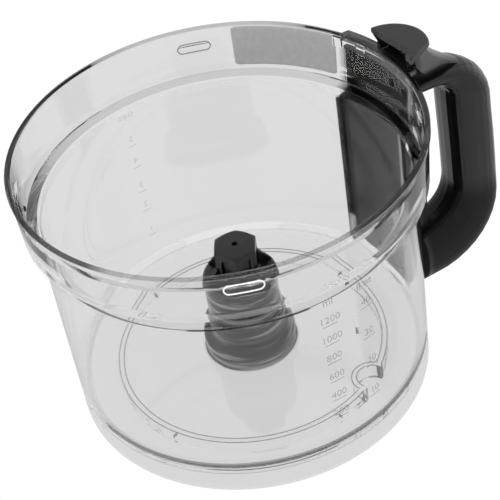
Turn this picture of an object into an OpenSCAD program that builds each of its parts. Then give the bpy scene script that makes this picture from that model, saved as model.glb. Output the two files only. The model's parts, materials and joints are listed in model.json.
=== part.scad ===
// Clear work bowl of a food processor, with its drive spindle and its interlock handle.
// Z is the bowl's axis, z = 0 is the plane that the bowl stands on, and the handle points along +X.

/* [Bowl] */
// Outer radius of the body below the collar
body_r = 83.2; // [72:0.2:96]
// How far the rim stands out from the body
collar_step = 6.8; // [6:0.2:9]
// Height of the bowl
bowl_h = 130; // [105:1:170]
// Height of the rim above the ledge that the lid's skirt reaches down to
collar_h = 24.5; // [21:0.5:32]
// Thickness of the clear walls
wall = 2.4; // [1.8:0.1:3]
// Height of the top of the floor above the table
floor_z = 12; // [10:0.5:16]
// Thickness of the floor
floor_t = 2.4; // [1.8:0.1:3]
// Radius of the bayonet ring under the floor
ring_r = 64; // [56:0.5:68]
// How far the thickened rim stands out over the handle
rim_pad = 3.3; // [2:0.1:4]

/* [Lid slots] */
// Number of lid slots round the collar
slot_n = 4; // [2:1:6]
// Length of a lid slot
slot_len = 17; // [10:1:24]
// Height of a lid slot
slot_h = 4.6; // [3:0.2:7]
// Height of the slots' middle above the ledge
slot_rise = 14; // [8:0.5:18]
// Bearing of the first slot from the handle
slot_turn = 71.4; // [60:0.2:80]
// Height of the cylindrical seat for the lid's skirt, above the ledge
seat_h = 4; // [3:0.5:6]

/* [Label] */
// Length of the label along the collar
label_w = 54; // [40:1:60]
// Gap between the handle's panel and the label
label_gap = 3.1; // [1:0.1:12]

/* [Underside] */
// Depth of the underside's ring, up to the floor
ring_gap = 1.5; // [1:0.5:3]
// Radius of the notch that goes round the motor's guide post
notch_r = 7; // [5:0.5:9]
// Bearing of the notch
notch_turn = -57; // [-80:1:-35]
// Radius of the short locating rib
rib_r = 50.5; // [40:0.5:54]

/* [Tower and spindle] */
// Outer radius of the clear tower
tower_r = 18; // [15:0.5:22]
// Top of the tower
tower_z = 50; // [42:1:60]
// Outer radius of the tower's foot
foot_r = 21.5; // [19:0.5:26]
// Top of the tower's foot
foot_z = 21; // [18:0.5:26]
// Radius of the steel shaft
shaft_r = 4; // [3:0.1:4.6]
// Wall of the two bushes
bush_t = 2.6; // [2:0.1:3]
// Height of a bush
bush_h = 9; // [6:0.5:10]
// Radius of the six-sided head over its corners
hex_r = 10.7; // [9:0.1:13]
// Height of the six-sided head above its flange
hex_h = 16; // [12:0.5:24]
// Radius of the head's flange
flange_r = 17; // [14:0.5:17.5]
// Thickness of the flange
flange_t = 3.2; // [2.6:0.2:5]
// Number of fins round the foot of the head
fin_n = 6; // [3:1:8]
// Radius of the motor socket
socket_r = 7; // [5.5:0.25:8]
// Depth of the motor socket
socket_h = 6.5; // [4:0.5:7]
// Radius of the coupling
coup_r = 13; // [12:0.5:15]

/* [Handle] */
// Reach of the handle's wall panel to the far side
panel_w = 34.5; // [26:0.5:40]
// Reach of the wall panel to the near side
panel_near = 13.4; // [12:0.2:20]
// Thickness of the wall panel
panel_t = 1.8; // [1.4:0.1:2.6]
// Half width of the grip
grip_w = 12.8; // [11:0.1:15]
// Half width of the upper arm at the rim
arm_w = 9.6; // [9.4:0.1:12]
// Reach of the grip's outer side from the rim
reach = 45.2; // [40:0.2:60]
// How far the grip leans out at its foot
lean = 1; // [0:0.5:4]
// Depth of the grip
grip_d = 23.6; // [18:0.2:27]
// Drop from the rim to the crest of the upper arm
arm_drop = 9.6; // [8:0.2:11]
// Fall of the upper arm from its crest towards the bowl
arm_fall = 0.2; // [0:0.2:2]
// Depth of the upper arm
arm_d = 8.6; // [8.4:0.2:12]
// Bend of the shoulder, outside
top_r = 20.5; // [16:0.5:24]
// Bend of the heel, outside
heel_r = 39; // [30:0.5:42]
// Bend under the upper arm
in_r = 5; // [4:0.5:11]
// Bend over the lower arm
in_heel_r = 18; // [11:0.5:20]
// Underside of the lower arm
heel_z = 4.6; // [4:0.2:12]
// Depth of the lower arm at the bowl
heel_d = 24.6; // [20:0.2:30]
// Wall of the handle's mouldings
shell = 2; // [1.6:0.1:2.4]
// How pointed the crown of the arm and the shoulder is, 1 for an ellipse
crown = 1.4; // [0.8:0.1:1.6]
// Share of the upper arm's depth that lies above its widest line
belly = 0.2; // [0.2:0.05:0.5]
// Underside of the wall panel
panel_bot = 10; // [8:0.5:14]
// Bearing of the parting line round the section at the arms' ends, from the outer side
part_a = 55; // [48:1:60]
// Bearing of the parting line round the grip's section
grip_a = 27; // [20:1:40]

/* [Interlock] */
// Radius of the D-shaped hood
hood_r = 16.8; // [15.6:0.2:18]
// How much the D is flattened on the near side
hood_flat = 2.2; // [1:0.2:3.4]
// How far the D's centre lies to the far side of the handle's plane
hood_y = 1.4; // [0:0.2:2]
// Thickness of the hood's plate
plate_t = 3; // [2:0.2:3.4]
// Reach of the slot for the lid's tab, to the far side
tab_w = 12; // [8:0.5:13]
// Reach of the slot to the near side
tab_near = 10.5; // [8:0.5:11]
// Height of the slot for the lid's tab
tab_h = 5.5; // [4:0.25:6.5]
// Distance of the push rod's middle outside the rim
rod_out = 4.6; // [4.2:0.1:6]
// Radius of the push rod
rod_r = 2; // [1.5:0.1:2.2]
// Width of the push rod's head
head_w = 10; // [7:0.5:12]
// Travel of the push rod
travel = 5; // [3:0.5:5.5]
// Length of the rod's spring when it is pressed
spring_min = 7.6; // [6:0.2:9]
// Radius of the spring's wire
wire = 0.45; // [0.3:0.05:0.5]

/* [Fits] */
// Gap between a fixed piece and its seat
seat = 0.1; // [0.05:0.05:0.2]
// Running gap round the shaft
run = 0.05; // [0.03:0.01:0.08]
// Gap round a moving piece
free = 0.35; // [0.3:0.05:0.6]

/* [Hidden] */
$fn = 96;
e = 0.01;

// bowl
rim_r = body_r + collar_step;
ledge_z = bowl_h - collar_h;
collar_r = rim_r - 1.5;            // collar's outer radius where it meets the ledge
neck_z = ledge_z - 6.5;            // the body starts here, under the ledge
under_z = floor_z - floor_t;       // underside of the floor
tower_in = tower_r - wall + 0.4;   // inside of the tower
foot_in = foot_r - wall + 0.4;
slot_z = ledge_z + slot_rise;
label_turn = asin(panel_w / rim_r) + asin(label_gap / rim_r) + asin(label_w / 2 / rim_r);
pad_z = bowl_h - 5.5;

// spindle stack
sleeve_r = tower_in - seat;
bush_r = shaft_r + bush_t;
cap_t = 2;                         // the tower's closed top
seal_z = tower_z - 3.2;
head_z = tower_z + 0.8;            // underside of the turning head
head_top = head_z + flange_t + hex_h;
low_bush_z = under_z + 6.4;        // bottom of the lower bush
thrust_t = 0.8;
ring_t = 1;
ring_z = low_bush_z - thrust_t - 0.1 - ring_t;
coup_top = ring_z - 0.6;
coup_bot = coup_top - socket_h - 4;
shaft_bot = coup_bot + socket_h;
shaft_top = head_top - 4;

// handle
grip_x = rim_r + reach;
arm_z = bowl_h - arm_drop;
panel_top = bowl_h - 6;
arm_x0 = rim_r + 0.3;
heel_x0 = body_r + 0.7;
heel_cx = grip_x + lean - heel_r;
shoulder_x = grip_x - top_r - 1;
rod_x = rim_r + rod_out;
web_x = rod_x + 6;                 // wall that the screws clamp
arm_in = arm_z - arm_d;
boss_r = 2.1;
boss_y = 6.4;
screw_r = 1.1;
screw_head_r = 2.3;
up_y = 5;                          // the upper pair stands closer, within the narrow arm
up_z = arm_z - belly * arm_d - 2.4;
low_z = heel_z + heel_d / 2;
col_w = 4.4;                       // half width of the rod's column
slot_floor = bowl_h + 1;
slot_end = web_x - 0.6;
hood_rise = slot_floor - bowl_h + tab_h + plate_t;
hood_top = bowl_h + hood_rise;
plate_z = hood_top - plate_t;
hood_x = rim_r - 2.3;              // centre of the D
hood_front = hood_x + 0.3;         // the plate's straight front, at the far side
shelf_x = rim_r - 0.4;             // the slot's floor begins here, clear of the rim's flat face
hood_inset = 1.6;                  // the plate stands out this far over the saddle
rod_top = slot_floor + tab_h - 0.3;
rod_bot = heel_z + 0.8;            // its foot stands back in the heel until it is pressed
guide_z = rod_bot + 7;            // top of the guide's flange
coil_top = guide_z + spring_min + travel;

// ---------- helpers ----------
function arc(cx, cz, r, a0, a1, n) =
  [for (i = [0:n]) let (a = a0 + (a1 - a0) * i / n) [cx + r * cos(a), cz + r * sin(a)]];
function line(p, q, n) = [for (i = [0:n - 1]) p + (q - p) * i / n];
function sgn_pow(v, p) = sign(v) * pow(abs(v), p);
// outside of the collar at height z
function collar_at(z) = collar_r + (rim_r - 0.6 - collar_r) * (z - ledge_z + 1.5) / (bowl_h - 1.5 - ledge_z);
function flat(list) = [for (l = list, v = l) v];

// tube of inner radius ri and outer radius ro between two heights
module ring(ro, ri, z0, z1) {
  translate([0, 0, z0]) difference() {
    cylinder(r = ro, h = z1 - z0);
    translate([0, 0, -1]) cylinder(r = ri, h = z1 - z0 + 2);
  }
}
// everything within half width w of the handle's plane, from x0 outward
module slab(w, x0, x1, z0, z1) translate([x0, -w, z0]) cube([x1 - x0, 2 * w, z1 - z0]);
module along_x(x0, x1, y, z, r) translate([x0, y, z]) rotate([0, 90, 0]) cylinder(r = r, h = x1 - x0, $fn = 32);

// ---------- bowl ----------
module bowl_profile() polygon(concat(
  [[body_r, 0], [body_r, neck_z]],
  arc(collar_r - 3, ledge_z - 1.5, 3, -50, 0, 5),
  [[rim_r - 0.6, bowl_h - 3], [rim_r, bowl_h - 2.6], [rim_r, bowl_h - 0.5], [rim_r - 0.5, bowl_h],
   [rim_r - wall + 0.5, bowl_h], [rim_r - wall, bowl_h - 0.5], [collar_r - wall, ledge_z + 0.6 + seat_h],
   [collar_r - wall, ledge_z + 0.6],
   [collar_r - wall - 0.6, ledge_z], [body_r - wall + 1, ledge_z - 0.4], [body_r - wall, ledge_z - 1.6]],
  arc(body_r - wall - 2, floor_z + 2, 2, 0, -90, 5),
  arc(foot_r + 1.2, floor_z + 1.2, 1.2, -90, -180, 4),
  [[foot_r, foot_z - 1.5], [foot_r - 1, foot_z], [tower_r + 0.6, foot_z + 1], [tower_r, foot_z + 3],
   [tower_r - 0.2, tower_z - 1], [tower_r - 1, tower_z], [bush_r + 3.2, tower_z], [bush_r + 3.2, tower_z - cap_t],
   [tower_in, tower_z - cap_t], [tower_in, foot_z], [foot_in, foot_z - 2], [foot_in, under_z],
   [body_r - wall, under_z], [body_r - wall, 0]]));

// pill-shaped lid slot, proud of the inside of the collar
module lid_slot() {
  a = (slot_len - slot_h) / 2;
  translate([0, 0, slot_z]) rotate([0, 90, 0]) translate([0, 0, collar_r - wall + 0.2]) linear_extrude(1.6) {
    for (s = [-1, 1]) translate([0, s * a]) circle(d = slot_h, $fn = 32);
    square([slot_h, 2 * a], center = true);
  }
}
// one ramped lug inside the bayonet ring
module bayonet_lug(turn) rotate([0, 0, turn]) intersection() {
  rotate([0, 0, -8]) rotate_extrude(angle = 16)
    polygon([[ring_r - 4.6, 2.5], [ring_r - 1, 2.5], [ring_r - 1, 5], [ring_r - 4.6, 4.4]]);
  ring(ring_r, ring_r - 5, 0, under_z);
}
module bayonet_ring() {
  h = under_z - ring_gap + e;
  difference() {
    union() {
      translate([0, 0, ring_gap]) ring(ring_r, ring_r - 2, 0, h);
      rotate([0, 0, notch_turn]) translate([ring_r - 1, 0, ring_gap]) ring(notch_r + 2, notch_r, 0, h);
    }
    // the ring bends inwards round the motor's guide post
    rotate([0, 0, notch_turn]) translate([ring_r - 1, 0, 0]) cylinder(r = notch_r, h = under_z, $fn = 64);
    rotate([0, 0, notch_turn]) translate([ring_r, -notch_r - 5, 0]) cube([notch_r + 5, 2 * notch_r + 10, under_z]);
  }
  for (i = [0:3]) bayonet_lug(i * 90 + 20);
  // short rib that locates the motor's collar
  rotate([0, 0, -26]) rotate_extrude(angle = 9)
    polygon([[rib_r - 1, under_z - 4], [rib_r + 1, under_z - 4], [rib_r + 1, under_z + e], [rib_r - 1, under_z + e]]);
}
module rim_thickening() intersection() {
  translate([0, 0, pad_z]) rotate([0, 0, -30]) rotate_extrude(angle = 60) polygon([
    [rim_r - 1.5, 1.8], [rim_r + rim_pad - 0.5, 3.2], [rim_r + rim_pad, 3.7], [rim_r + rim_pad, 5],
    [rim_r + rim_pad - 0.5, 5.5], [rim_r - 1.5, 5.5]]);
  translate([rim_r - 30, -tab_near, 0]) cube([50, tab_near + panel_w + 1, bowl_h]);
}
module bowl() {
  color([0.85, 0.87, 0.88, 0.4]) difference() {
    union() {
      rotate_extrude() bowl_profile();
      bayonet_ring();
      rim_thickening();
      for (i = [0:slot_n - 1]) rotate([0, 0, slot_turn + i * 360 / slot_n]) lid_slot();
      // catch blocks inside the rim, next to the hood
      for (a = [15, 24]) rotate([0, 0, a]) translate([rim_r - wall - 1.3, -2.5, bowl_h - 6]) cube([2.1, 5, 5]);
      // bosses for the handle's screws
      for (s = [-1, 1]) {
        along_x(rim_r - 2.2, web_x, s * up_y, up_z, boss_r);
        along_x(body_r - 1.6, web_x, s * boss_y, low_z, boss_r);
      }
    }
    for (s = [-1, 1]) {
      along_x(rim_r - 0.6, web_x + 1, s * up_y, up_z, screw_r + run);
      along_x(body_r + 0.6, web_x + 1, s * boss_y, low_z, screw_r + run);
    }
    // the rod passes the thickened rim
    translate([rod_x, 0, -1]) cylinder(r = rod_r + free, h = bowl_h + 5, $fn = 48);
  }
}
module rim_label() {
  z0 = ledge_z + 4;
  h = bowl_h - 5 - z0;
  color([0.72, 0.73, 0.74, 0.7]) intersection() {
    rotate([0, 0, label_turn - 20]) rotate_extrude(angle = 40) polygon([
      [collar_at(z0) + seat / 2, z0], [collar_at(z0) + 0.6, z0],
      [collar_at(z0 + h) + 0.6, z0 + h], [collar_at(z0 + h) + seat / 2, z0 + h]]);
    rotate([0, 0, label_turn]) translate([rim_r, 0, z0 + h / 2]) rotate([0, 90, 0])
      linear_extrude(collar_h * 2, center = true) rounded(h, label_w, 2);
  }
}
// rectangle with round corners, made of its own arcs
module rounded(w, d, r) polygon(flat([for (q = [0:3]) let (sx = (q == 0 || q == 3) ? 1 : -1, sy = q < 2 ? 1 : -1)
  arc(sx * (w / 2 - r), sy * (d / 2 - r), r, q * 90, q * 90 + 90, 6)]));

// ---------- spindle ----------
module bearing_sleeve() {
  color([0.09, 0.09, 0.1]) difference() {
    rotate_extrude() polygon(concat(
      [[bush_r + seat, low_bush_z], [foot_in - seat, low_bush_z], [foot_in - seat, foot_z - 2.4],
       [sleeve_r, foot_z - 0.4]],
      flat([for (i = [0:3]) let (z = foot_z + 4 + i * 5.5)
        [[sleeve_r, z], [sleeve_r - 1, z + 0.8], [sleeve_r - 1, z + 2.6], [sleeve_r, z + 3.4]]]),
      [[sleeve_r, tower_z - cap_t], [bush_r + 3, tower_z - cap_t], [bush_r + 3, tower_z - 0.4],
       [bush_r + 1.4, tower_z - 0.4], [bush_r + 1.4, seal_z], [bush_r + seat, seal_z]]));
    // moulded hollow between the two bush seats
    translate([0, 0, low_bush_z + bush_h + 2]) cylinder(r = bush_r + 1.5, h = seal_z - low_bush_z - 2 * bush_h - 4);
    for (a = [0:60:300]) rotate([0, 0, a]) translate([sleeve_r - 3.6, 0, low_bush_z - 1])
      cylinder(r = 1.6, h = seal_z - low_bush_z - 2, $fn = 24);
  }
}
module bush(z) ring(bush_r, shaft_r + run, z, z + bush_h);
module upper_bush() color([0.62, 0.5, 0.32]) bush(seal_z - bush_h);
module lower_bush() color([0.62, 0.5, 0.32]) {
  bush(low_bush_z);
  ring(bush_r + 2.4, shaft_r + run, low_bush_z - 0.1 - thrust_t / 2, low_bush_z);
}
module shaft_seal() {
  color([0.2, 0.2, 0.21]) rotate_extrude() polygon([
    [shaft_r + run, seal_z + 1.3], [shaft_r + 0.8, seal_z], [bush_r + 1.4 - seat, seal_z],
    [bush_r + 1.4 - seat, tower_z - 0.6], [shaft_r + 2, tower_z - 0.6], [shaft_r + 1.4, seal_z + 1.2],
    [shaft_r + run, seal_z + 1.9]]);
}
module head_washer() color([0.9, 0.88, 0.8]) ring(bush_r + 2.6, shaft_r + run, tower_z - 0.4, head_z - 0.1);
module thrust_washer()
  color([0.75, 0.75, 0.77]) ring(bush_r + 1, shaft_r + run, ring_z + ring_t + 0.05, low_bush_z - 0.1 - thrust_t / 2);
module retaining_ring() {
  color([0.5, 0.5, 0.52]) difference() {
    ring(shaft_r + 2, shaft_r - 0.4, ring_z, ring_z + ring_t);
    slab(shaft_r - 1.5, 0, shaft_r + 3, ring_z - 1, ring_z + ring_t + 1);
  }
}
module spindle_core() {
  color([0.72, 0.73, 0.75]) difference() {
    union() {
      translate([0, 0, shaft_bot]) cylinder(r = shaft_r, h = shaft_top - shaft_bot - 0.6);
      translate([0, 0, shaft_top - 0.6]) cylinder(r1 = shaft_r, r2 = shaft_r - 0.6, h = 0.6);
    }
    // groove for the ring, and flats that drive the coupling
    ring(shaft_r + 1, shaft_r - 0.4, ring_z - 0.05, ring_z + ring_t + 0.05);
    for (s = [0, 180]) rotate([0, 0, s]) translate([shaft_r - 0.7, -5, shaft_bot - 1])
      cube([2, 10, coup_top - shaft_bot - 0.6 + 1]);
  }
}
// arched flute in one face of the head
module flute() {
  w = hex_r * 0.22;
  apothem = hex_r * cos(30);
  translate([apothem, 0, 0]) rotate([0, 90, 0]) linear_extrude(2.4, center = true) {
    translate([-(hex_h * 0.72 - w), 0]) circle(r = w, $fn = 32);
    translate([-(hex_h * 0.72 - w), -w]) square([hex_h * 0.72 - w, 2 * w]);
  }
}
module fin(base) {
  rotate([90, 0, 0]) linear_extrude(2.6, center = true)
    polygon([[hex_r - 4, 0], [base, 0], [base, 0.6], [hex_r + 0.6, 7.2], [hex_r - 4, 7.2]]);
}
module drive_head() {
  z1 = head_z + flange_t;
  color([0.07, 0.07, 0.075]) difference() {
    union() {
      rotate_extrude() polygon([[0, head_z], [flange_r - 0.6, head_z], [flange_r, head_z + 0.6],
        [flange_r, z1 - 1.4], [flange_r - 1.2, z1 - 0.4], [hex_r - 1, z1], [0, z1]]);
      intersection() {
        translate([0, 0, z1 - e]) rotate([0, 0, 2]) cylinder(r = hex_r, h = hex_h + e, $fn = 6);
        translate([0, 0, z1 - e]) rotate_extrude() polygon([[0, 0], [hex_r + 1, 0], [hex_r + 1, hex_h - 1.6],
          [hex_r - 1.6, hex_h - 0.5], [0, hex_h]]);
      }
      for (i = [0:fin_n - 1]) rotate([0, 0, 2 + i * 360 / fin_n]) translate([0, 0, z1 - 0.6]) fin(flange_r - 0.8);
    }
    for (i = [0:5]) rotate([0, 0, 32 + i * 60]) translate([0, 0, z1 + 1]) flute();
    translate([0, 0, head_z - 1]) cylinder(r = shaft_r + seat, h = shaft_top - head_z + 1.1);
    translate([0, 0, head_top - 1.6]) cylinder(r1 = 0.9, r2 = 1.5, h = 2, $fn = 32);
  }
}
module drive_coupling() {
  color([0.1, 0.1, 0.11]) difference() {
    rotate_extrude() polygon([[0, coup_bot], [coup_r - 2, coup_bot], [coup_r - 1, coup_bot + 1],
      [coup_r - 1, coup_top - 3], [coup_r, coup_top - 2], [coup_r, coup_top - 0.6], [coup_r - 0.6, coup_top],
      [0, coup_top]]);
    translate([0, 0, coup_bot - 1]) cylinder(r = socket_r, h = socket_h + 1);
    // splines that the motor's shaft drives
    for (i = [0:3]) rotate([0, 0, i * 90]) translate([0, -1, coup_bot - 1]) cube([socket_r + 1.8, 2, socket_h + 1]);
    // seat of the shaft, with its two flats
    intersection() {
      translate([0, 0, shaft_bot - e]) cylinder(r = shaft_r + seat, h = coup_top);
      translate([-shaft_r + 0.7 - seat, -6, shaft_bot - 1]) cube([2 * (shaft_r - 0.7 + seat), 12, coup_top]);
    }
    translate([0, 0, coup_top - 0.6]) cylinder(r = shaft_r + seat, h = 1);
    for (i = [0:7]) rotate([0, 0, 22.5 + i * 45]) translate([coup_r + 0.6, 0, coup_bot - 1])
      cylinder(r = 2, h = coup_top, $fn = 24);
  }
}

// ---------- handle ----------
grip_in = grip_x - grip_d;
heel_in = heel_z + heel_d;
out_path = concat(
  line([arm_x0, arm_z - arm_fall], [shoulder_x - 4, arm_z], 3),
  [[shoulder_x - 4, arm_z]],
  arc(shoulder_x, arm_z - top_r, top_r, 90, 3, 7),
  line([grip_x - 0.9, arm_z - top_r - 8], [grip_x + lean, heel_z + heel_r + 8], 3),
  arc(heel_cx, heel_z + heel_r, heel_r, 0, -90, 9),
  [[(heel_cx + heel_x0) / 2, heel_z], [heel_x0, heel_z]]);
in_path = concat(
  line([arm_x0, arm_in], [grip_in - in_r - 1, arm_in], 4),
  arc(grip_in - in_r - 1, arm_in - in_r, in_r, 90, 3, 7),
  line([grip_in - 0.9, arm_in - in_r - 6], [grip_in + lean, heel_in + in_heel_r + 12], 3),
  arc(grip_in + lean - in_heel_r, heel_in + in_heel_r + 6, in_heel_r, 0, -62, 9),
  [[(heel_cx + heel_x0) / 2, heel_in + 2.6], [heel_x0, heel_in]]);
rings = len(out_path);
saddle_end = 7;                    // the hood's saddle runs out at this ring

function ramp(v) = max(0, min(1, v));
// half width of the section at ring i, and the bearing of the parting line there
function half_w(i) = arm_w + (grip_w - arm_w) * ramp((i - 3) / 7);
function part_at(i) = grip_a + (part_a - grip_a) * max(ramp(1 - (i - 2) / 6), ramp((i - 15) / 7));
// share of the section's depth outside its widest line: shallow at the arm, half at the grip
function share(i) = belly + (0.5 - belly) * ramp((i - 3) / 6);
// point of a rounded section: a is its bearing from the outer side, inset moves it inwards
function section(i, a, inset) = let (
    o = out_path[i], n = in_path[i], k = share(i), c = o + (n - o) * k, u = (o - n) / norm(o - n),
    d = norm(o - n) * (cos(a) > 0 ? k : 1 - k), s = sgn_pow(cos(a), 0.76) * (d - inset), 
    t = sgn_pow(sin(a), 0.76 + (crown - 0.76) * ramp(((cos(a) > 0 ? 13 : 9) - i) / 5)) * (half_w(i) - inset))
  [c[0] + u[0] * s, t, c[1] + u[1] * s];
// loft of the section's outer part, within the parting lines less gap, or of the rest of it; thick = its wall
module shell_loft(outer, gap, n, i0, i1, thick) {
  function bearing(i, u) = outer ? (part_at(i) - gap) * (2 * u - 1) : part_at(i) + (360 - 2 * part_at(i)) * u;
  pts = flat([for (i = [i0:i1]) concat(
    [for (k = [0:n]) section(i, bearing(i, k / n), 0)],
    [for (k = [n:-1:0]) section(i, bearing(i, k / n), thick)])]);
  m = 2 * (n + 1);
  polyhedron(points = pts, faces = concat(
    flat([for (i = [0:i1 - i0 - 1], k = [0:m - 1]) let (a = i * m + k, b = i * m + (k + 1) % m)
      [[a, b, b + m], [a, b + m, a + m]]]),
    flat([for (k = [0:n - 1]) let (a = k, b = k + 1, c = m - 2 - k, d = m - 1 - k, z = (i1 - i0) * m)
      [[a, d, c], [a, c, b], [z + a, z + b, z + c], [z + a, z + c, z + d]]])));
}
module wall_panel() {
  intersection() {
    rotate([0, 0, -40]) rotate_extrude(angle = 80) polygon([
      [body_r + 0.2, panel_bot], [body_r + 0.2 + panel_t, panel_bot], [body_r + 0.2 + panel_t, neck_z - 1.4],
      [collar_r + 0.4 + panel_t, ledge_z - 5.6], [collar_at(panel_top) + 0.3 + panel_t, panel_top],
      [collar_at(panel_top) + 0.3, panel_top], [collar_r + 0.3, ledge_z - 4.2], [body_r + 0.2, neck_z - 0.5]]);
    translate([body_r / 2, -panel_near, 0]) cube([rim_r, panel_near + panel_w, bowl_h]);
  }
}
module handle_body() {
  color([0.06, 0.06, 0.065]) difference() {
    union() {
      wall_panel();
      shell_loft(false, 0, 22, 0, rings - 1, shell);
      // column that guides the rod between the arms
      difference() {
        slab(col_w, body_r + 0.4, rod_x + rod_r + free + 0.9, coil_top + 2, arm_in + 2);
        rotate_extrude() polygon([[0, 0], [body_r + 1, 0], [body_r + 1, neck_z - 1], [collar_r + 1, ledge_z - 5],
          [rim_r + 1, panel_top], [rim_r + 1, bowl_h], [0, bowl_h]]);
      }
      // walls that the screws clamp
      slab(up_y + 1.6, web_x + 0.1, web_x + 2.1, arm_in + 2.4, up_z + 1.5);
      slab(grip_w - shell + 0.4, web_x + 0.1, web_x + 2.1, heel_z + 8.8, heel_in + 0.8);
    }
    translate([rod_x, 0, -1]) cylinder(r = rod_r + free, h = bowl_h, $fn = 48);
    // the strap's end tucks under the panel
    slab(grip_w, body_r, body_r + 4, 0, panel_bot + 4.2);
    for (s = [-1, 1]) {
      along_x(web_x - 1, web_x + 2.2, s * up_y, up_z, screw_r + 0.3);
      along_x(web_x + 2.1, web_x + 4.6, s * up_y, up_z, screw_head_r + 0.3);
      along_x(rim_r - 4, web_x + 0.1, s * up_y, up_z, boss_r + 0.3);
      along_x(web_x - 1, web_x + 4, s * boss_y, low_z, screw_r + 0.3);
      along_x(body_r - 4, web_x + 0.1, s * boss_y, low_z, boss_r + 0.3);
    }
  }
}
// reach of the D from its centre along bearing a: round, and flattened on the near side
function d_reach(a, r) = cos(a + 60) > 0.2 ? min(r, (r - hood_flat) / cos(a + 60)) : r;
// plan of the D, drawn in by inset
module d_plan(inset) translate([hood_x, hood_y]) intersection() {
  circle(r = hood_r - inset);
  rotate(-60) translate([-3 * hood_r, -2 * hood_r]) square([4 * hood_r - hood_flat - inset, 4 * hood_r]);
}
// saddle that sweeps from the arm's parting lines up to the D, drawn in towards it in a hollow curve
module saddle(steps = 8, n = 24) {
  function foot_at(i, u) = section(i, (part_at(i) - 8) * u, 0.7);
  foot = concat(
    [for (i = [0:saddle_end - 1]) foot_at(i, -1)],
    [for (k = [0:n - 2 * saddle_end]) foot_at(saddle_end, 2 * k / (n - 2 * saddle_end) - 1)],
    [for (i = [saddle_end - 1:-1:0]) foot_at(i, 1)]);
  top = [for (k = [0:n]) let (a = -89.5 + 179 * k / n, r = d_reach(a, hood_r - hood_inset))
    [hood_x + r * cos(a), hood_y + r * sin(a), plate_z - seat / 2]];
  function draw(p, q, u) = norm([q[0] - hood_x, q[1] - hood_y]) < norm([p[0] - hood_x, p[1] - hood_y])
    ? 1 - pow(1 - u, 1.6) : pow(u, 1.8);
  m = n + 1;
  mid = [(arm_x0 + shoulder_x) / 2, 0, arm_z - arm_fall / 2 - 1.4];
  pts = concat(flat([for (j = [0:steps], k = [0:n]) let (u = j / steps, p = foot[k], q = top[k], g = draw(p, q, u))
    [[p[0] + (q[0] - p[0]) * g, p[1] + (q[1] - p[1]) * g, p[2] + (q[2] - p[2]) * u]]]), [mid]);
  polyhedron(points = pts, faces = concat(
    flat([for (j = [0:steps - 1], k = [0:n]) let (a = j * m + k, c = j * m + (k + 1) % m)
      [[a, c + m, c], [a, a + m, c + m]]]),
    [for (k = [0:n]) [k, (k + 1) % m, len(pts) - 1]],
    [[for (k = [n:-1:0]) steps * m + k]]));
}
module handle_cover() {
  gap = 1.2;
  color([0.07, 0.07, 0.075]) difference() {
    union() {
      shell_loft(true, gap, 10, 0, rings - 1, shell + 0.8);
      saddle();
      translate([rod_x, 0, heel_z + 0.6]) cylinder(r = 6.4, h = guide_z - 1.6 - heel_z - 0.6, $fn = 48);
    }
    translate([rod_x, 0, -1]) cylinder(r = rod_r + 1.4 + seat, h = heel_z + 20, $fn = 48);
    // clear of the rim, open for the tab, and a well for the rod's head
    slab(panel_w, rim_r - 10, rim_r + rim_pad + 0.6, arm_in, bowl_h + seat);
    slab(panel_w, rim_r - 10, shelf_x, arm_in, slot_floor);
    translate([0, 0, slot_floor]) linear_extrude(hood_rise) intersection() {
      d_plan(hood_inset + 1);
      translate([hood_x - hood_r, -tab_near]) square([slot_end - hood_x + hood_r, tab_near + tab_w]);
    }
    slab(head_w / 2 + free, rod_x - 0.6 - free, slot_end, arm_in, slot_floor + 1);
    translate([rod_x, 0, arm_in]) cylinder(r = rod_r + free, h = slot_floor + 1 - arm_in, $fn = 48);
    for (s = [-1, 1]) {
      along_x(web_x - 1, web_x + 4.6, s * up_y, up_z, screw_head_r + 0.3);
      along_x(rim_r - 4, web_x, s * up_y, up_z, boss_r + 0.3);
    }
    for (s = [-1, 1]) translate([slot_end + 2, s * 3, plate_z - 4]) cylinder(r = 0.9 + seat, h = 5, $fn = 32);
  }
}
// plate of the hood, which roofs the slot, with two pegs that hold it on the saddle
module interlock_hood() {
  color([0.09, 0.09, 0.095]) {
    intersection() {
      translate([hood_x, hood_y, plate_z]) rotate_extrude() polygon([[0, 0], [hood_r - 0.4, 0], [hood_r, 0.5],
        [hood_r, plate_t - 1.2], [hood_r - 0.4, plate_t - 0.4], [hood_r - 1.4, plate_t], [0, plate_t]]);
      translate([0, 0, plate_z - 1]) linear_extrude(plate_t + 2) difference() {
        d_plan(0);
        // straight front, set back a little over the slot
        translate([hood_front - 3 * hood_r, -2 * hood_r]) square([3 * hood_r, 4 * hood_r]);
        polygon([[hood_x - hood_r, tab_w + 1], [hood_front, tab_w + 1], [hood_front + 3.4, -tab_near],
          [hood_x - hood_r, -tab_near]]);
      }
    }
    for (s = [-1, 1]) translate([slot_end + 2, s * 3, plate_z - 3.4]) cylinder(r = 0.9, h = 3.5, $fn = 32);
  }
}

// ---------- interlock ----------
module push_rod() {
  x0 = rod_x - 0.6;
  color([0.12, 0.12, 0.13]) union() {
    translate([rod_x, 0, rod_bot + 0.6]) cylinder(r = rod_r, h = slot_floor - 0.8 - rod_bot, $fn = 48);
    translate([rod_x, 0, rod_bot]) cylinder(r1 = rod_r - 0.6, r2 = rod_r, h = 0.6, $fn = 48);
    translate([rod_x, 0, coil_top]) cylinder(r = rod_r + 2.2, h = 1.6, $fn = 48);
    // ramped head that the lid's tab presses down
    rotate([90, 0, 0]) linear_extrude(head_w, center = true) polygon([
      [x0, slot_floor - 1.4], [slot_end - free, slot_floor - 1.4], [slot_end - free, rod_top],
      [x0 + 2.6, rod_top], [x0, rod_top - 2.4]]);
  }
}
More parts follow.
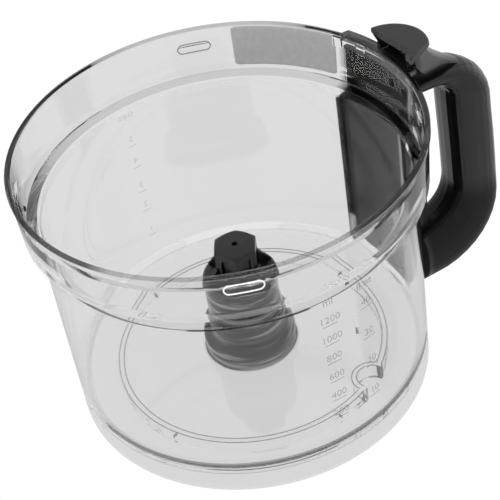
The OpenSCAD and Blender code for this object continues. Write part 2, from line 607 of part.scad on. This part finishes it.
// round wire wound along z: each slice of the extrusion is the wire cut level
module coil(r, wire, pitch, turns) {
  linear_extrude(pitch * turns, twist = -360 * turns, slices = turns * 16, $fn = 12)
    polygon([for (u = [0:45:315]) let (a = sin(u) * wire / pitch * 360, q = r + wire * cos(u))
      [q * cos(a), q * sin(a)]]);
}
module rod_spring() {
  h = coil_top - guide_z;
  turns = 6;
  color([0.7, 0.7, 0.72]) translate([rod_x, 0, guide_z + wire]) coil(rod_r + 1.1, wire, (h - 2 * wire) / turns, turns);
}
module rod_guide() {
  color([0.85, 0.85, 0.82]) translate([rod_x, 0, 0]) difference() {
    union() {
      translate([0, 0, guide_z - 1.6]) cylinder(r = rod_r + 2.6, h = 1.6, $fn = 48);
      translate([0, 0, heel_z - 0.8]) cylinder(r = rod_r + 1.4, h = guide_z - heel_z, $fn = 48);
    }
    translate([0, 0, -1]) cylinder(r = rod_r + run, h = guide_z + 2, $fn = 48);
  }
}
module handle_screw(y, z) {
  x = web_x + 2.1;
  color([0.7, 0.71, 0.73]) difference() {
    union() {
      along_x(x - 12, x + 0.1, y, z, screw_r);
      translate([x + 0.02, y, z]) rotate([0, 90, 0]) cylinder(r1 = screw_head_r, r2 = screw_head_r - 0.8, h = 2, $fn = 32);
    }
    for (a = [0, 90]) translate([x + 2.1, y, z]) rotate([a, 0, 0]) cube([2, 0.9, 3.4], center = true);
  }
}
module handle_screw_upper_left() handle_screw(up_y, up_z);
module handle_screw_upper_right() handle_screw(-up_y, up_z);
module handle_screw_lower_left() handle_screw(boss_y, low_z);
module handle_screw_lower_right() handle_screw(-boss_y, low_z);

bowl();
rim_label();
bearing_sleeve();
upper_bush();
lower_bush();
shaft_seal();
head_washer();
thrust_washer();
drive_head();
spindle_core();
retaining_ring();
drive_coupling();
handle_body();
handle_cover();
interlock_hood();
push_rod();
rod_spring();
rod_guide();
handle_screw_upper_left();
handle_screw_upper_right();
handle_screw_lower_left();
handle_screw_lower_right();
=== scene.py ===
import json
import math

import bpy
import numpy as np
from mathutils import Matrix, Vector


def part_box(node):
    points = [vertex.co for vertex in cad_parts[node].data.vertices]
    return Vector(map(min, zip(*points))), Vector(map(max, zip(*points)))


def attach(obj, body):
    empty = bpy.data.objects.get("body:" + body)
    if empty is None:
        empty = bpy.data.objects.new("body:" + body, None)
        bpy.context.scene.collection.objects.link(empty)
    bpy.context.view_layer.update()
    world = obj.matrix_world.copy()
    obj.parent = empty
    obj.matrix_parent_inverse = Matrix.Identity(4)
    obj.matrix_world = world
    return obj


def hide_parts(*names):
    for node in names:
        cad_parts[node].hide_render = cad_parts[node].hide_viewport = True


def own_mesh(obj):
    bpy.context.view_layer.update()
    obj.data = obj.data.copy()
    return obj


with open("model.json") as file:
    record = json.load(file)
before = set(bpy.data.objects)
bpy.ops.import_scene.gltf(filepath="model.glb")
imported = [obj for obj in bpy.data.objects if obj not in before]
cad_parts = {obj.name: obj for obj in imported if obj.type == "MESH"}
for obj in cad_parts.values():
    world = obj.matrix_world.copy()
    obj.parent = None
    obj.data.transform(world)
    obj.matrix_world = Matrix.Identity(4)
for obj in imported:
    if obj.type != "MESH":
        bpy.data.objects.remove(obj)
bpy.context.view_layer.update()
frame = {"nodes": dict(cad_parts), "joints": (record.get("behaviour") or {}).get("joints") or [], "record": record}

scene = bpy.context.scene
scene.view_settings.view_transform = "Standard"

mm = 0.001


# ---------- camera ----------
def aim(eye, target, roll):
    """World matrix of something at eye that looks at target along its -Z. roll turns it, in radians."""
    ahead = (Vector(target) - Vector(eye)).normalized()
    right = ahead.cross(Vector((0, 0, 1))).normalized()
    up = right.cross(ahead)
    across = math.cos(roll) * right + math.sin(roll) * up
    above = -math.sin(roll) * right + math.cos(roll) * up
    turned = Matrix((across, above, -ahead)).transposed().to_4x4()
    return Matrix.Translation(eye) @ turned


camera = bpy.data.objects.new("camera", bpy.data.cameras.new("camera"))
scene.collection.objects.link(camera)
camera.data.sensor_width = 36.0
camera.data.lens = 100.28
camera.data.clip_start = 0.02
camera.data.clip_end = 20.0
camera_eye = (-0.16345, -0.44908, 0.47095)
camera_target = (0.00602, -0.00219, 0.06463)
camera_roll = math.radians(-9.84)
camera.matrix_world = aim(camera_eye, camera_target, camera_roll)
scene.camera = camera


# ---------- shader kit ----------
class Socket:
    """A shader value: + - * ** on it add Math nodes."""

    def __init__(self, finish, socket):
        self.finish = finish
        self.socket = socket

    def out(self, name):
        """Another output of the same node."""
        return Socket(self.finish, self.socket.node.outputs[name])

    def _maths(self, operation, a, b):
        return self.finish.node("ShaderNodeMath", {"operation": operation}, {0: a, 1: b})

    def __add__(self, other):
        return self._maths("ADD", self, other)

    def __sub__(self, other):
        return self._maths("SUBTRACT", self, other)

    def __mul__(self, other):
        return self._maths("MULTIPLY", self, other)

    def __pow__(self, other):
        return self._maths("POWER", self, other)

    def __radd__(self, other):
        return self._maths("ADD", other, self)

    def __rsub__(self, other):
        return self._maths("SUBTRACT", other, self)

    def __rmul__(self, other):
        return self._maths("MULTIPLY", other, self)


def grey(value):
    return (value, value, value, 1.0)


class Finish:
    """A material with one Principled shader. node() adds any other node, set() fills the shader's sockets."""

    def __init__(self, name, **values):
        self.material = bpy.data.materials.new(name)
        self.material.use_nodes = True
        self.tree = self.material.node_tree
        self.shader = next(n for n in self.tree.nodes if n.type == "BSDF_PRINCIPLED")
        self.set(**values)

    def node(self, kind, settings=None, sockets=None, out=0):
        """Adds a node of this kind, its settings first and then its sockets, and gives one of its outputs."""
        made = self.tree.nodes.new(kind)
        for key, value in (settings or {}).items():
            if key == "stops":
                self.set_stops(made.color_ramp, value)
            else:
                setattr(made, key, value)
        for key, value in (sockets or {}).items():
            self.feed(made.inputs[key], value)
        return Socket(self, made.outputs[out])

    def set_stops(self, ramp, stops):
        """Sets a ramp's stops from (place, grey value) pairs, in rising order."""
        while len(ramp.elements) < len(stops):
            ramp.elements.new(0.5)
        for element, (place, shade) in zip(ramp.elements, stops):
            element.position = place
            element.color = grey(shade)

    def feed(self, socket, value):
        if isinstance(value, Socket):
            self.tree.links.new(value.socket, socket)
        else:
            socket.default_value = value

    def set(self, **values):
        for key, value in values.items():
            self.feed(self.shader.inputs[key.replace("_", " ")], value)

    def place(self):
        """The place on the piece, in metres."""
        return self.node("ShaderNodeTexCoord", out="Object")

    def xyz(self):
        """The place on the piece as three values."""
        parts = self.node("ShaderNodeSeparateXYZ", {}, {0: self.place()})
        return [parts.out(axis) for axis in "XYZ"]

    def step(self, value, start, end):
        """0 up to start, 1 from end, smooth between."""
        return self.node("ShaderNodeMapRange", {"interpolation_type": "SMOOTHSTEP"},
                         {"Value": value, "From Min": start, "From Max": end})

    def band(self, value, start, end, soft):
        """1 from start to end, falling to 0 within soft outside them."""
        return self.step(value, start - soft, start) * (1 - self.step(value, end, end + soft))

    def mix(self, share, a, b):
        """Colour a where share is 0, b where it is 1."""
        return self.node("ShaderNodeMix", {"data_type": "RGBA"}, {0: share, 6: a, 7: b}, out=2)

    def ramp(self, value, stops):
        """A value read off (place, grey value) stops."""
        return self.node("ShaderNodeValToRGB", {"stops": stops}, {0: value})

    def noise(self, place, scale, detail=2.0):
        return self.node("ShaderNodeTexNoise", {}, {"Vector": place, "Scale": scale, "Detail": detail})

    def spread(self, noise, low, high):
        """A value between low and high, told by noise."""
        return self.ramp(noise, [(0.3, low), (0.7, high)])

    def grain(self, key, scale, low, high):
        """Feeds a socket of the shader a value between low and high, told by fine noise."""
        self.set(**{key: self.spread(self.noise(self.place(), scale), low, high)})
        return self

    def over(self, shader, share):
        """Shows another shader over this one by a share of 0 to 1."""
        mixed = self.node("ShaderNodeMixShader", {},
                          {0: share, 1: Socket(self, self.shader.outputs[0]), 2: shader})
        output = next(n for n in self.tree.nodes if n.type == "OUTPUT_MATERIAL")
        self.tree.links.new(mixed.socket, output.inputs[0])


# ---------- the bowl's main sizes ----------
rim_r, rim_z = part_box("bowl")[1][1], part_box("bowl")[1][2]
ledge_z = rim_z - 24.5 * mm
body_r = rim_r - 6.8 * mm
floor_z = 12 * mm


def collar(z):
    """Outer radius of the collar's cone at height z: it widens evenly from the ledge to the rim."""
    widening = 0.9 * mm / (23 * mm)
    return rim_r - 1.5 * mm + widening * (z - ledge_z + 1.5 * mm)


# ---------- finishes ----------
def clear_plastic():
    """Glassy plastic. Light bent at its thick edges is painted in: opacity and colour are told zone by zone,
    by height, by radius and by bearing in degrees from the handle, to give painted shade and see-through bands
    there."""
    clear = Finish("clear_plastic", Roughness=0.03, IOR=1.5, Transmission_Weight=1.0)
    x, y, z = clear.xyz()
    radius = (x * x + y * y) ** 0.5
    full_turn = clear.node("ShaderNodeMath", {"operation": "ARCTAN2"}, {0: y, 1: x}) * (0.5 / math.pi) + 0.5

    def around(stops):
        """A value by bearing, from (degrees, value) stops between -180 and 180."""
        return clear.ramp(full_turn, [((degrees + 180) / 360, value) for degrees, value in stops])

    def beyond(start, end):
        """1 further from the axis than end, 0 nearer than start."""
        return clear.step(radius, start, end)

    def within(start, end):
        """1 nearer to the axis than start, 0 further than end."""
        return 1 - beyond(start, end)

    # each zone is 1 where it lies; front is the side away from the handle
    front = around([(-180, 1), (-60, 1), (-50, 0), (162, 0), (174, 1), (180, 1)])
    inside = within(81.2 * mm, 81.6 * mm)
    rim = clear.step(z, rim_z - 1.3 * mm, rim_z - 0.5 * mm)
    ledge = (clear.band(z, ledge_z - 0.5 * mm, ledge_z + 0.6 * mm, 0.3 * mm)
             * within(rim_r - 4.1 * mm, rim_r - 3.7 * mm))
    back_ledge = ledge * (1 - front)
    outer_neck = clear.band(z, ledge_z - 8 * mm, ledge_z + 1.2 * mm, 0.4 * mm)
    inner_neck = clear.band(z, ledge_z - 9.9 * mm, ledge_z + 1.2 * mm, 0.4 * mm)
    neck = (outer_neck * (1 - inside) + inner_neck * inside) * front
    brow = clear.step(z, rim_z - 7 * mm, rim_z - 6 * mm) * front * (1 - rim)
    seam = clear.band(z, ledge_z - 2.0 * mm, ledge_z - 1.7 * mm, 0.2 * mm) * front * 0.1
    fillet = (clear.band(z, floor_z + 0.05 * mm, floor_z + 2.6 * mm, 0.5 * mm)
              * beyond(body_r - 6 * mm, body_r - 4 * mm) * within(body_r - 1.2 * mm, body_r - 0.8 * mm))
    under = (clear.band(z, floor_z - 2.7 * mm, floor_z - 2.0 * mm, 0.15 * mm)
             * beyond(68 * mm, 71 * mm) * within(80.9 * mm, 81.3 * mm))
    base_edge = under * front * beyond(78.6 * mm, 79.0 * mm)
    heel = (around([(20, 0), (26, 1), (140, 1), (150, 0)])
            * clear.band(z, 4 * mm, floor_z + 1.6 * mm, 0.6 * mm)
            * beyond(body_r - 0.8 * mm, body_r - 0.4 * mm))
    tower = within(23 * mm, 23.4 * mm) * clear.step(z, 11.9 * mm, 12.3 * mm)
    panel = (around([(-9.5, 0), (-8.5, 1), (22, 1), (23, 0)])
             * clear.band(z, 10 * mm, 123.5 * mm, 0.5 * mm) * beyond(78 * mm, 79 * mm) * (1 - ledge))

    # painted shade: how opaque the rim, the ledge and the corner of the floor are, round the bowl
    rim_shade = around([(-180, 0.88), (-150, 0.88), (-143, 0.42), (-84, 0.42), (-76, 0.86), (-20, 0.92),
                        (22, 0.9), (26, 0.36), (60, 0.3), (100, 0.34), (125, 0.6), (150, 0.85), (180, 0.88)])
    ledge_shade = around([(-180, 0.45), (-165, 0.45), (-60, 0.5), (-40, 0.6), (-20, 0.95), (20, 0.95),
                          (24, 0.2), (110, 0.22), (138, 0.35), (146, 0.66), (168, 0.66), (180, 0.45)])
    fillet_shade = around([(-172, 0.2), (-160, 0.55), (-55, 0.55), (-40, 0.2), (60, 0.15), (150, 0.15),
                           (178, 0.2)])

    # the share of its opacity that each zone loses, painted shade and see-through patches for light bent at the
    # thick plastic; the base's edge gets some back
    losses = ((rim, 1 - rim_shade), (back_ledge, 1 - ledge_shade), (neck * (1 - seam), 0.88),
              (seam, 0.75), (brow, 0.9), (fillet, 1 - fillet_shade), (under, 0.85), (base_edge, -0.3),
              (heel, 0.7), (panel, 0.9))
    # painted shade: these zones turn the plastic black; the tower is painted black for the dark shaft seen through
    # it
    painted_dark_zones = rim + back_ledge + fillet + seam + base_edge + tower
    clear.set(Alpha=1 - sum(zone * loss for zone, loss in losses))
    clear.set(Base_Color=clear.mix(painted_dark_zones, grey(0.985), grey(0.0)))

    # painted light: faint level streaks that glow on the tower
    stretched = clear.node("ShaderNodeVectorMath", {"operation": "MULTIPLY"},
                           {0: clear.place(), 1: (30.0, 30.0, 420.0)})
    painted_light_streaks = clear.step(clear.noise(stretched, 1.0, 3.0), 0.45, 0.7)
    clear.set(Emission_Color=clear.mix(tower * painted_light_streaks, grey(0.0), grey(1.0)), Emission_Strength=0.19)
    return clear


def label_finish():
    """Mottled film: pale where it is seen through the collar, grey on its printed outer face. The pale inner face
    and a faint white glow are painted light that lifts it out of the shade inside the collar.
    """
    # painted light: a faint white glow over the whole film
    label = Finish("label_film", Roughness=0.45, Emission_Color=grey(1.0), Emission_Strength=0.03)
    mottle = label.noise(label.place(), 420.0, 3.0)
    x, y, z = label.xyz()
    printed = label.step((x * x + y * y) ** 0.5 - collar(z), 0.18 * mm, 0.24 * mm)
    pale, dull = label.spread(mottle, 0.86, 0.97), label.spread(mottle, 0.32, 0.38)
    label.set(Base_Color=label.mix(printed, pale, dull))
    return label


def black_gloss():
    """Glossy black, with a painted sheen that makes the saddle over the rim paler, and a dull coat that hardly
    reflects on the wall panel and the heel, as painted shade.
    """
    gloss = Finish("black_gloss").grain("Roughness", 2600.0, 0.19, 0.25)
    x, _, z = gloss.xyz()
    saddle = gloss.band(x, 98 * mm, 120 * mm, 5 * mm) * gloss.step(z, rim_z - 10 * mm, rim_z - 2 * mm)
    wall_panel = gloss.band(x, 70 * mm, rim_r + 1.8 * mm, 1.2 * mm)
    heel = gloss.step(x, rim_r + 3 * mm, rim_r + 6 * mm) * (1 - gloss.step(z, 44 * mm, 60 * mm))
    dull_painted_shade = gloss.node("ShaderNodeBsdfPrincipled", {},
                      {"Base Color": grey(0.01), "Roughness": 0.5, "IOR": 1.1})
    # painted sheen: the saddle over the rim is made paler
    gloss.set(Base_Color=gloss.mix(saddle, grey(0.004), grey(0.09)))
    # painted shade: the wall panel and the heel are dulled so that they reflect less
    gloss.over(dull_painted_shade, wall_panel * 0.95 + heel * 0.65)
    return gloss


def sintered_bronze():
    """Bronze with fine light and dark grains."""
    bronze = Finish("bronze", Metallic=1.0, Roughness=0.4)
    grains = bronze.noise(bronze.place(), 2200.0)
    bronze.set(Base_Color=bronze.mix(grains, (0.44, 0.31, 0.17, 1), (0.56, 0.41, 0.23, 1)))
    return bronze


clear = clear_plastic()
label = label_finish()
gloss = black_gloss()
satin = Finish("black_satin").grain("Roughness", 3200.0, 0.29, 0.37).grain("Base_Color", 900.0, 0.009, 0.013)
nylon = Finish("nylon", Roughness=0.4).grain("Base_Color", 900.0, 0.55, 0.65)
steel = Finish("steel", Metallic=1.0).grain("Base_Color", 1500.0, 0.56, 0.64)
steel.grain("Roughness", 2400.0, 0.21, 0.29)
bronze = sintered_bronze()
rubber = Finish("rubber", Roughness=0.7).grain("Base_Color", 1200.0, 0.025, 0.035)
marks = Finish("moulded_marks", Roughness=0.5, Alpha=0.3).grain("Base_Color", 700.0, 0.26, 0.34)
faint_marks = Finish("moulded_marks_faint", Roughness=0.5, Alpha=0.16).grain("Base_Color", 700.0, 0.26, 0.34)
edge_dark = Finish("floor_edge_shade", Roughness=0.4, Alpha=0.5).grain("Base_Color", 300.0, 0.01, 0.03)
base_dark = Finish("base_corner_shade", Roughness=0.4, Alpha=0.28).grain("Base_Color", 120.0, 0.03, 0.07)
# painted highlight: a white ring that glows; painted shade: a dark, half see-through ring
painted_highlight_lip = Finish("slot_lip_painted_highlight", Roughness=0.2, Emission_Color=grey(1.0), Emission_Strength=0.35)
painted_highlight_lip.grain("Base_Color", 500.0, 0.9, 1.0)
painted_shade_lip = Finish("slot_lip_painted_shade", Roughness=0.2, Alpha=0.5).grain("Base_Color", 500.0, 0.2, 0.3)
painted_shade_dot = Finish("painted_slot_shade", Roughness=0.3).grain("Base_Color", 500.0, 0.002, 0.006)

by_slot = {"clear": clear, "label": label, "black_gloss": gloss, "black_satin": satin,
           "nylon": nylon, "steel": steel, "bronze": bronze, "rubber": rubber}
for part in frame["record"]["subparts"]:
    finish = satin if part["node"] == "push_rod" else by_slot[part["material_slot"]]
    for material_slot in frame["nodes"][part["node"]].material_slots:
        material_slot.material = finish.material


# ---------- making pieces ----------
def add(name, points, faces, finish, smooth=True):
    """A piece that rides on the bowl: a closed mesh, turned right side out by the sign of its volume."""
    halves = [faces[:, [0, k, k + 1]] for k in range(1, faces.shape[1] - 1)]
    a, b, c = points[np.concatenate(halves)].transpose(1, 0, 2)
    if np.einsum("ij,ij->", a, np.cross(b, c)) < 0:
        faces = faces[:, ::-1]
    mesh = bpy.data.meshes.new(name)
    mesh.from_pydata(points.tolist(), [], faces.tolist())
    mesh.polygons.foreach_set("use_smooth", np.full(len(faces), smooth))
    mesh.materials.append(finish.material)
    piece = bpy.data.objects.new(name, mesh)
    scene.collection.objects.link(piece)
    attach(piece, "bowl_assembly")
    return piece


def weld(mesh):
    """Points and triangles of a mesh, with corners at the same place made one and triangles of no width left
    out."""
    mesh.calc_loop_triangles()
    flat = np.empty(len(mesh.vertices) * 3)
    triangles = np.empty(len(mesh.loop_triangles) * 3, np.int32)
    mesh.vertices.foreach_get("co", flat)
    mesh.loop_triangles.foreach_get("vertices", triangles)
    points, same = np.unique(np.round(flat.reshape(-1, 3), 7), axis=0, return_inverse=True)
    triangles = same.ravel()[triangles].reshape(-1, 3)
    return points, triangles[(triangles != np.roll(triangles, 1, 1)).all(1)]


def sweep(path, across, above, profile, closed):
    """Profile carried along a path: each point is path + across * p + above * q for the profile's (p, q).
    Returns points and four-sided faces. An open path has a four-sided profile and a flat face at each end."""
    n, m = len(path), len(profile)
    points = path[:, None] + across[:, None] * profile[None, :, :1] + above[:, None] * profile[None, :, 1:]
    along, round_it = np.meshgrid(np.arange(n if closed else n - 1), np.arange(m), indexing="ij")
    here, ahead = along * m, (along + 1) % n * m
    side = (round_it + 1) % m
    faces = np.stack([here + round_it, here + side, ahead + side, ahead + round_it], -1).reshape(-1, 4)
    if not closed:
        faces = np.concatenate([faces, [np.arange(m)[::-1], np.arange((n - 1) * m, n * m)]])
    return points.reshape(-1, 3), faces


def circle(r, n=8):
    """n points round a circle of radius r."""
    a = np.arange(n) * 2 * np.pi / n
    return r * np.stack([np.cos(a), np.sin(a)], -1)


def on_collar(u, v, out):
    """Point on the collar's outside: u is the length along it in metres round from bearing 0, v the height,
    out the distance proud of it."""
    r = collar(v) + out
    return np.stack([r * np.cos(u / rim_r), r * np.sin(u / rim_r), v + 0 * u], -1)


def arc_bar(centre, radius, height, start, end, steps, deep, tall):
    """Level bar bent along an arc: centre + radius * (cos a, sin a) at even steps of the bearing a, from start
    to end degrees, with a section that is deep along the radius and tall upright."""
    a = np.radians(np.linspace(start, end, steps))
    out = np.stack([np.cos(a), np.sin(a), 0 * a], -1)
    up = np.tile([0.0, 0.0, 1.0], (steps, 1))
    p, q = deep / 2, tall / 2
    section = np.array([(-p, -q), (p, -q), (p, q), (-p, q)])
    return sweep(np.array([*centre, height]) + radius * out, out, up, section, False)


# ---------- label on the collar ----------
def label_film():
    """Film on the collar's outside: a grid over length u and height v, each row as wide as a rectangle with
    round corners is there."""
    half_width, half_height, corner = 26.6 * mm, 10.2 * mm, 2 * mm
    rows, cols = 25, 61
    middle_u = math.radians(42.6) * rim_r
    middle_z = ledge_z + 11.9 * mm
    outer_face, inner_face = 0.35 * mm, 0.1 * mm
    v, share = np.meshgrid(np.linspace(-half_height, half_height, rows), np.linspace(-1, 1, cols),
                           indexing="ij")
    into_corner = np.maximum(np.abs(v) - half_height + corner, 0)
    reach = half_width - corner + np.sqrt(np.maximum(corner * corner - into_corner ** 2, 1e-12))
    u = share * reach + middle_u
    outer, inner = (on_collar(u, v + middle_z, out).reshape(-1, 3) for out in (outer_face, inner_face))
    count = rows * cols
    i, k = np.meshgrid(np.arange(rows - 1), np.arange(cols - 1), indexing="ij")
    a = (i * cols + k).ravel()
    top = np.stack([a, a + 1, a + cols + 1, a + cols], -1)
    edge = np.concatenate([np.arange(cols), np.arange(1, rows) * cols + cols - 1,
                           (rows - 1) * cols + np.arange(cols - 2, -1, -1),
                           np.arange(rows - 2, 0, -1) * cols])
    ahead = np.roll(edge, -1)
    rim_faces = np.stack([ahead, edge, edge + count, ahead + count], -1)
    faces = np.concatenate([top, top[:, ::-1] + count, rim_faces])
    film = add("label_film", np.concatenate([outer, inner]), faces, label)
    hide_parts("rim_label")


label_film()


# ---------- lips of the lid's slots, with painted highlight and shade, and dots of painted shade by them ---
def pill(length, height, n):
    """n points round a pill: two half circles of the height's radius, joined by straights, even in length."""
    r, a = height / 2, (length - height) / 2
    half_round = np.pi * r
    s = np.arange(n) / n * (4 * a + 2 * half_round)
    right = np.clip((s - 2 * a) / r, 0, np.pi)
    left = np.clip((s - 4 * a - half_round) / r, 0, np.pi)
    straights = np.clip(s, 0, 2 * a) - np.clip(s - 2 * a - half_round, 0, 2 * a)
    x = -a + straights + r * np.sin(right) - r * np.sin(left)
    y = -r * np.cos(right) - r * (1 - np.cos(left))
    return np.stack([x, y], -1)


def slot_lip(name, bearing, length, height, wire, finish, proud=0.15 * mm, rise=0.0):
    """Thin round lip along a pill-shaped outline, laid on the collar's outside: a circle of radius wire is
    carried along the outline. rise lifts it from the slots' height, proud moves it out of the collar."""
    slot_z = ledge_z + 14 * mm
    flat = pill(length, height, 72)
    path = on_collar(flat[:, 0] + math.radians(bearing) * rim_r, flat[:, 1] + slot_z + rise, proud)
    ahead = np.roll(path, -1, 0) - np.roll(path, 1, 0)
    ahead /= np.linalg.norm(ahead, axis=1)[:, None]
    above = path * [1, 1, 0] / np.linalg.norm(path[:, :2], axis=1)[:, None]
    points, faces = sweep(path, np.cross(ahead, above), above, circle(wire), True)
    return add(name, points, faces, finish)


# painted highlight on the front slot's ring, painted shade on the others, for light and shade on the slots' edges
for side, bearing, rise, finish in (("front", -109.6, 3.2, painted_highlight_lip), ("back", 71.4, 0.0, painted_shade_lip),
                                    ("left", 161.4, 0.0, painted_shade_lip), ("right", -18.6, 0.0, painted_shade_lip)):
    slot_lip("slot_lip_" + side, bearing, 15.8 * mm, 4.4 * mm, 0.3 * mm, finish, rise=rise * mm)

# painted shade: black dots sunk in the collar's wall by the near ends of the side slots, for light bent away there
for side, bearing, rise in (("left", 159.7, -9.6), ("right", -16.4, -5.6)):
    slot_lip("slot_pip_" + side, bearing, 1.5 * mm, 1.3 * mm, 0.6 * mm, painted_shade_dot, -2.9 * mm, rise * mm)


# ---------- webs that close the far end of the hood's slot ----------
def block(name, low, high):
    """Plain black block between two corners, all of its edges square."""
    pick = np.arange(8)[:, None] >> np.array([2, 1, 0]) & 1
    faces = np.array([[0, 1, 3, 2], [4, 6, 7, 5], [0, 4, 5, 1], [2, 3, 7, 6], [0, 2, 6, 4], [1, 5, 7, 3]])
    return add(name, np.where(pick, high, low), faces, satin, smooth=False)


hood_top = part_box("interlock_hood")[1][2]
web_y = 12.9 * mm
block("hood_web", (rim_r - 0.8 * mm, web_y, rim_z + 0.1 * mm),
      (rim_r + 5 * mm, 15.6 * mm, hood_top - 3.05 * mm))
block("hood_web_foot", (rim_r + 3.5 * mm, web_y, rim_z - 4 * mm),
      (rim_r + 6 * mm, 17.4 * mm, rim_z + 1 * mm))


# ---------- spring of the interlock rod ----------
def spring_coil():
    """The rod's spring, welded into one mesh."""
    node = frame["nodes"]["rod_spring"]
    points, faces = weld(node.data)
    place = np.array(node.matrix_world)
    coil = add("spring_coil", points @ place[:3, :3].T + place[:3, 3], faces, steel)
    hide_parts("rod_spring")
    lo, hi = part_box("rod_spring")
    travel = next(j for j in frame["joints"] if j["name"] == "rod_press")["range_m"][1]
    1 - travel / (hi[2] - lo[2])
    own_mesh(coil)


spring_coil()


# ---------- measuring scales on the body ----------
mark_proud = 0.06 * mm
mark_depth = 0.04 * mm


def words(name, lines, bearing, size, finish):
    """Raised lettering wrapped on the body: a flat outline's length u turns it by u over the body's radius.
    lines holds (text, height above the table in millimetres)."""
    wrapped, faces, count = [], [], 0
    for text, height in lines:
        curve = bpy.data.curves.new(name, "FONT")
        curve.body = text
        curve.size = size
        curve.align_x = "CENTER"
        curve.extrude = mark_depth
        curve.resolution_u = 3
        flat = bpy.data.objects.new(name, curve)
        scene.collection.objects.link(flat)
        bpy.context.view_layer.update()
        solid = flat.evaluated_get(bpy.context.evaluated_depsgraph_get())
        p, triangles = weld(bpy.data.meshes.new_from_object(solid))
        bpy.data.objects.remove(flat)
        angle, r = math.radians(bearing) + p[:, 0] / body_r, body_r + mark_proud + p[:, 2]
        wrapped.append(np.stack([r * np.cos(angle), r * np.sin(angle), height * mm + p[:, 1]], -1))
        faces.append(triangles + count)
        count += len(p)
    add(name, np.concatenate(wrapped), np.concatenate(faces), finish, smooth=False)


def level_bars(name, heights, start, end, finish, thick):
    """Thin level bars on the body from one bearing to another, one at each height in metres."""
    steps = 13 + int(end - start)
    bars = [arc_bar((0, 0), body_r + mark_proud, height, start, end, steps, 2 * mark_depth, thick)
            for height in heights]
    points = np.concatenate([p for p, _ in bars])
    faces = np.concatenate([f + n * 4 * steps for n, (_, f) in enumerate(bars)])
    add(name, points, faces, finish, smooth=False)


def scale(name, bars_name, unit, numbers, bearing, size, start, end, drop, finish):
    """A column of numbers under its unit, with a bar under each number, drop millimetres below its foot."""
    words(name, [unit] + numbers, bearing, size, finish)
    level_bars(bars_name, [(height - drop) * mm for _, height in numbers], start, end, finish, 0.44 * mm)


ml = [("1200", 85.2), ("1000", 74.8), ("800", 64.2), ("600", 53.4), ("400", 42.3), ("200", 31.6)]
oz = [("40", 83.4), ("30", 66.3), ("20", 50.2), ("10", 32.0)]
cups = [("5", 84.1), ("4", 71.3), ("3", 56.2), ("2", 44.2), ("1", 28.3)]
scale("scale_ml", "scale_ml_lines", ("ml", 94.6), ml, -87.4, 5.0 * mm, -89.8, -85.2, 1.6, marks)
scale("scale_oz", "scale_oz_lines", ("fl oz", 93.0), oz, -74.7, 5.0 * mm, -77.0, -72.6, 1.6, marks)
scale("scale_cups", "scale_cup_lines", ("cups", 98), cups, 99, 4.6 * mm, 97.4, 100.6, 2.6, faint_marks)


# ---------- shaded edges: dark films that stand for light bent away at corners of the plastic ----------
ring_r = 63 * mm
ring_edge_z = 9.55 * mm


def ring_edge(name, centre, radius, start, end):
    """Shaded edge of the ring under the floor: a thin flat strip along an arc, just under the floor."""
    points, faces = arc_bar(centre, radius, ring_edge_z, start, end, 121, 0.5 * mm, 0.06 * mm)
    add(name, points, faces, edge_dark, smooth=False)


ring_edge("ring_edge_outer", (0, 0), ring_r + 1.2 * mm, -49.6, 294.6)
ring_edge("ring_edge_inner", (0, 0), ring_r - 1.2 * mm, -48.6, 293.6)
level_bars("base_shade", [16.1 * mm], -168, -36, base_dark, 3.0 * mm)
notch_bearing = -57
notch = (ring_r * math.cos(math.radians(notch_bearing)), ring_r * math.sin(math.radians(notch_bearing)))
ring_edge("notch_edge_inner", notch, 6.9 * mm, notch_bearing + 96, notch_bearing + 264)
ring_edge("notch_edge_outer", notch, 9.1 * mm, notch_bearing + 100, notch_bearing + 260)


# ---------- floor and surroundings ----------
def paper_floor():
    """White to the camera, pale grey to what is lit by it or seen through the plastic."""
    half = 4
    floor = bpy.data.objects.new("floor", bpy.data.meshes.new("floor"))
    corners = [(-half, -half, 0), (half, -half, 0), (half, half, 0), (-half, half, 0)]
    floor.data.from_pydata(corners, [], [(0, 1, 2, 3)])
    scene.collection.objects.link(floor)
    paper = Finish("paper_floor", Base_Color=grey(0.14), Roughness=0.9, Specular_IOR_Level=0.0,
                   Emission_Color=grey(1.0), Emission_Strength=0.64)
    white = paper.node("ShaderNodeEmission", {}, {0: grey(1.0), 1: 1.02})
    paper.over(white, paper.node("ShaderNodeLightPath", out="Is Camera Ray"))
    floor.data.materials.append(paper.material)


paper_floor()
studio = bpy.data.worlds.new("studio")
scene.world = studio
studio.use_nodes = True
surround = studio.node_tree.nodes["Background"]
surround.inputs["Color"].default_value = grey(1.0)
surround.inputs["Strength"].default_value = 0.75
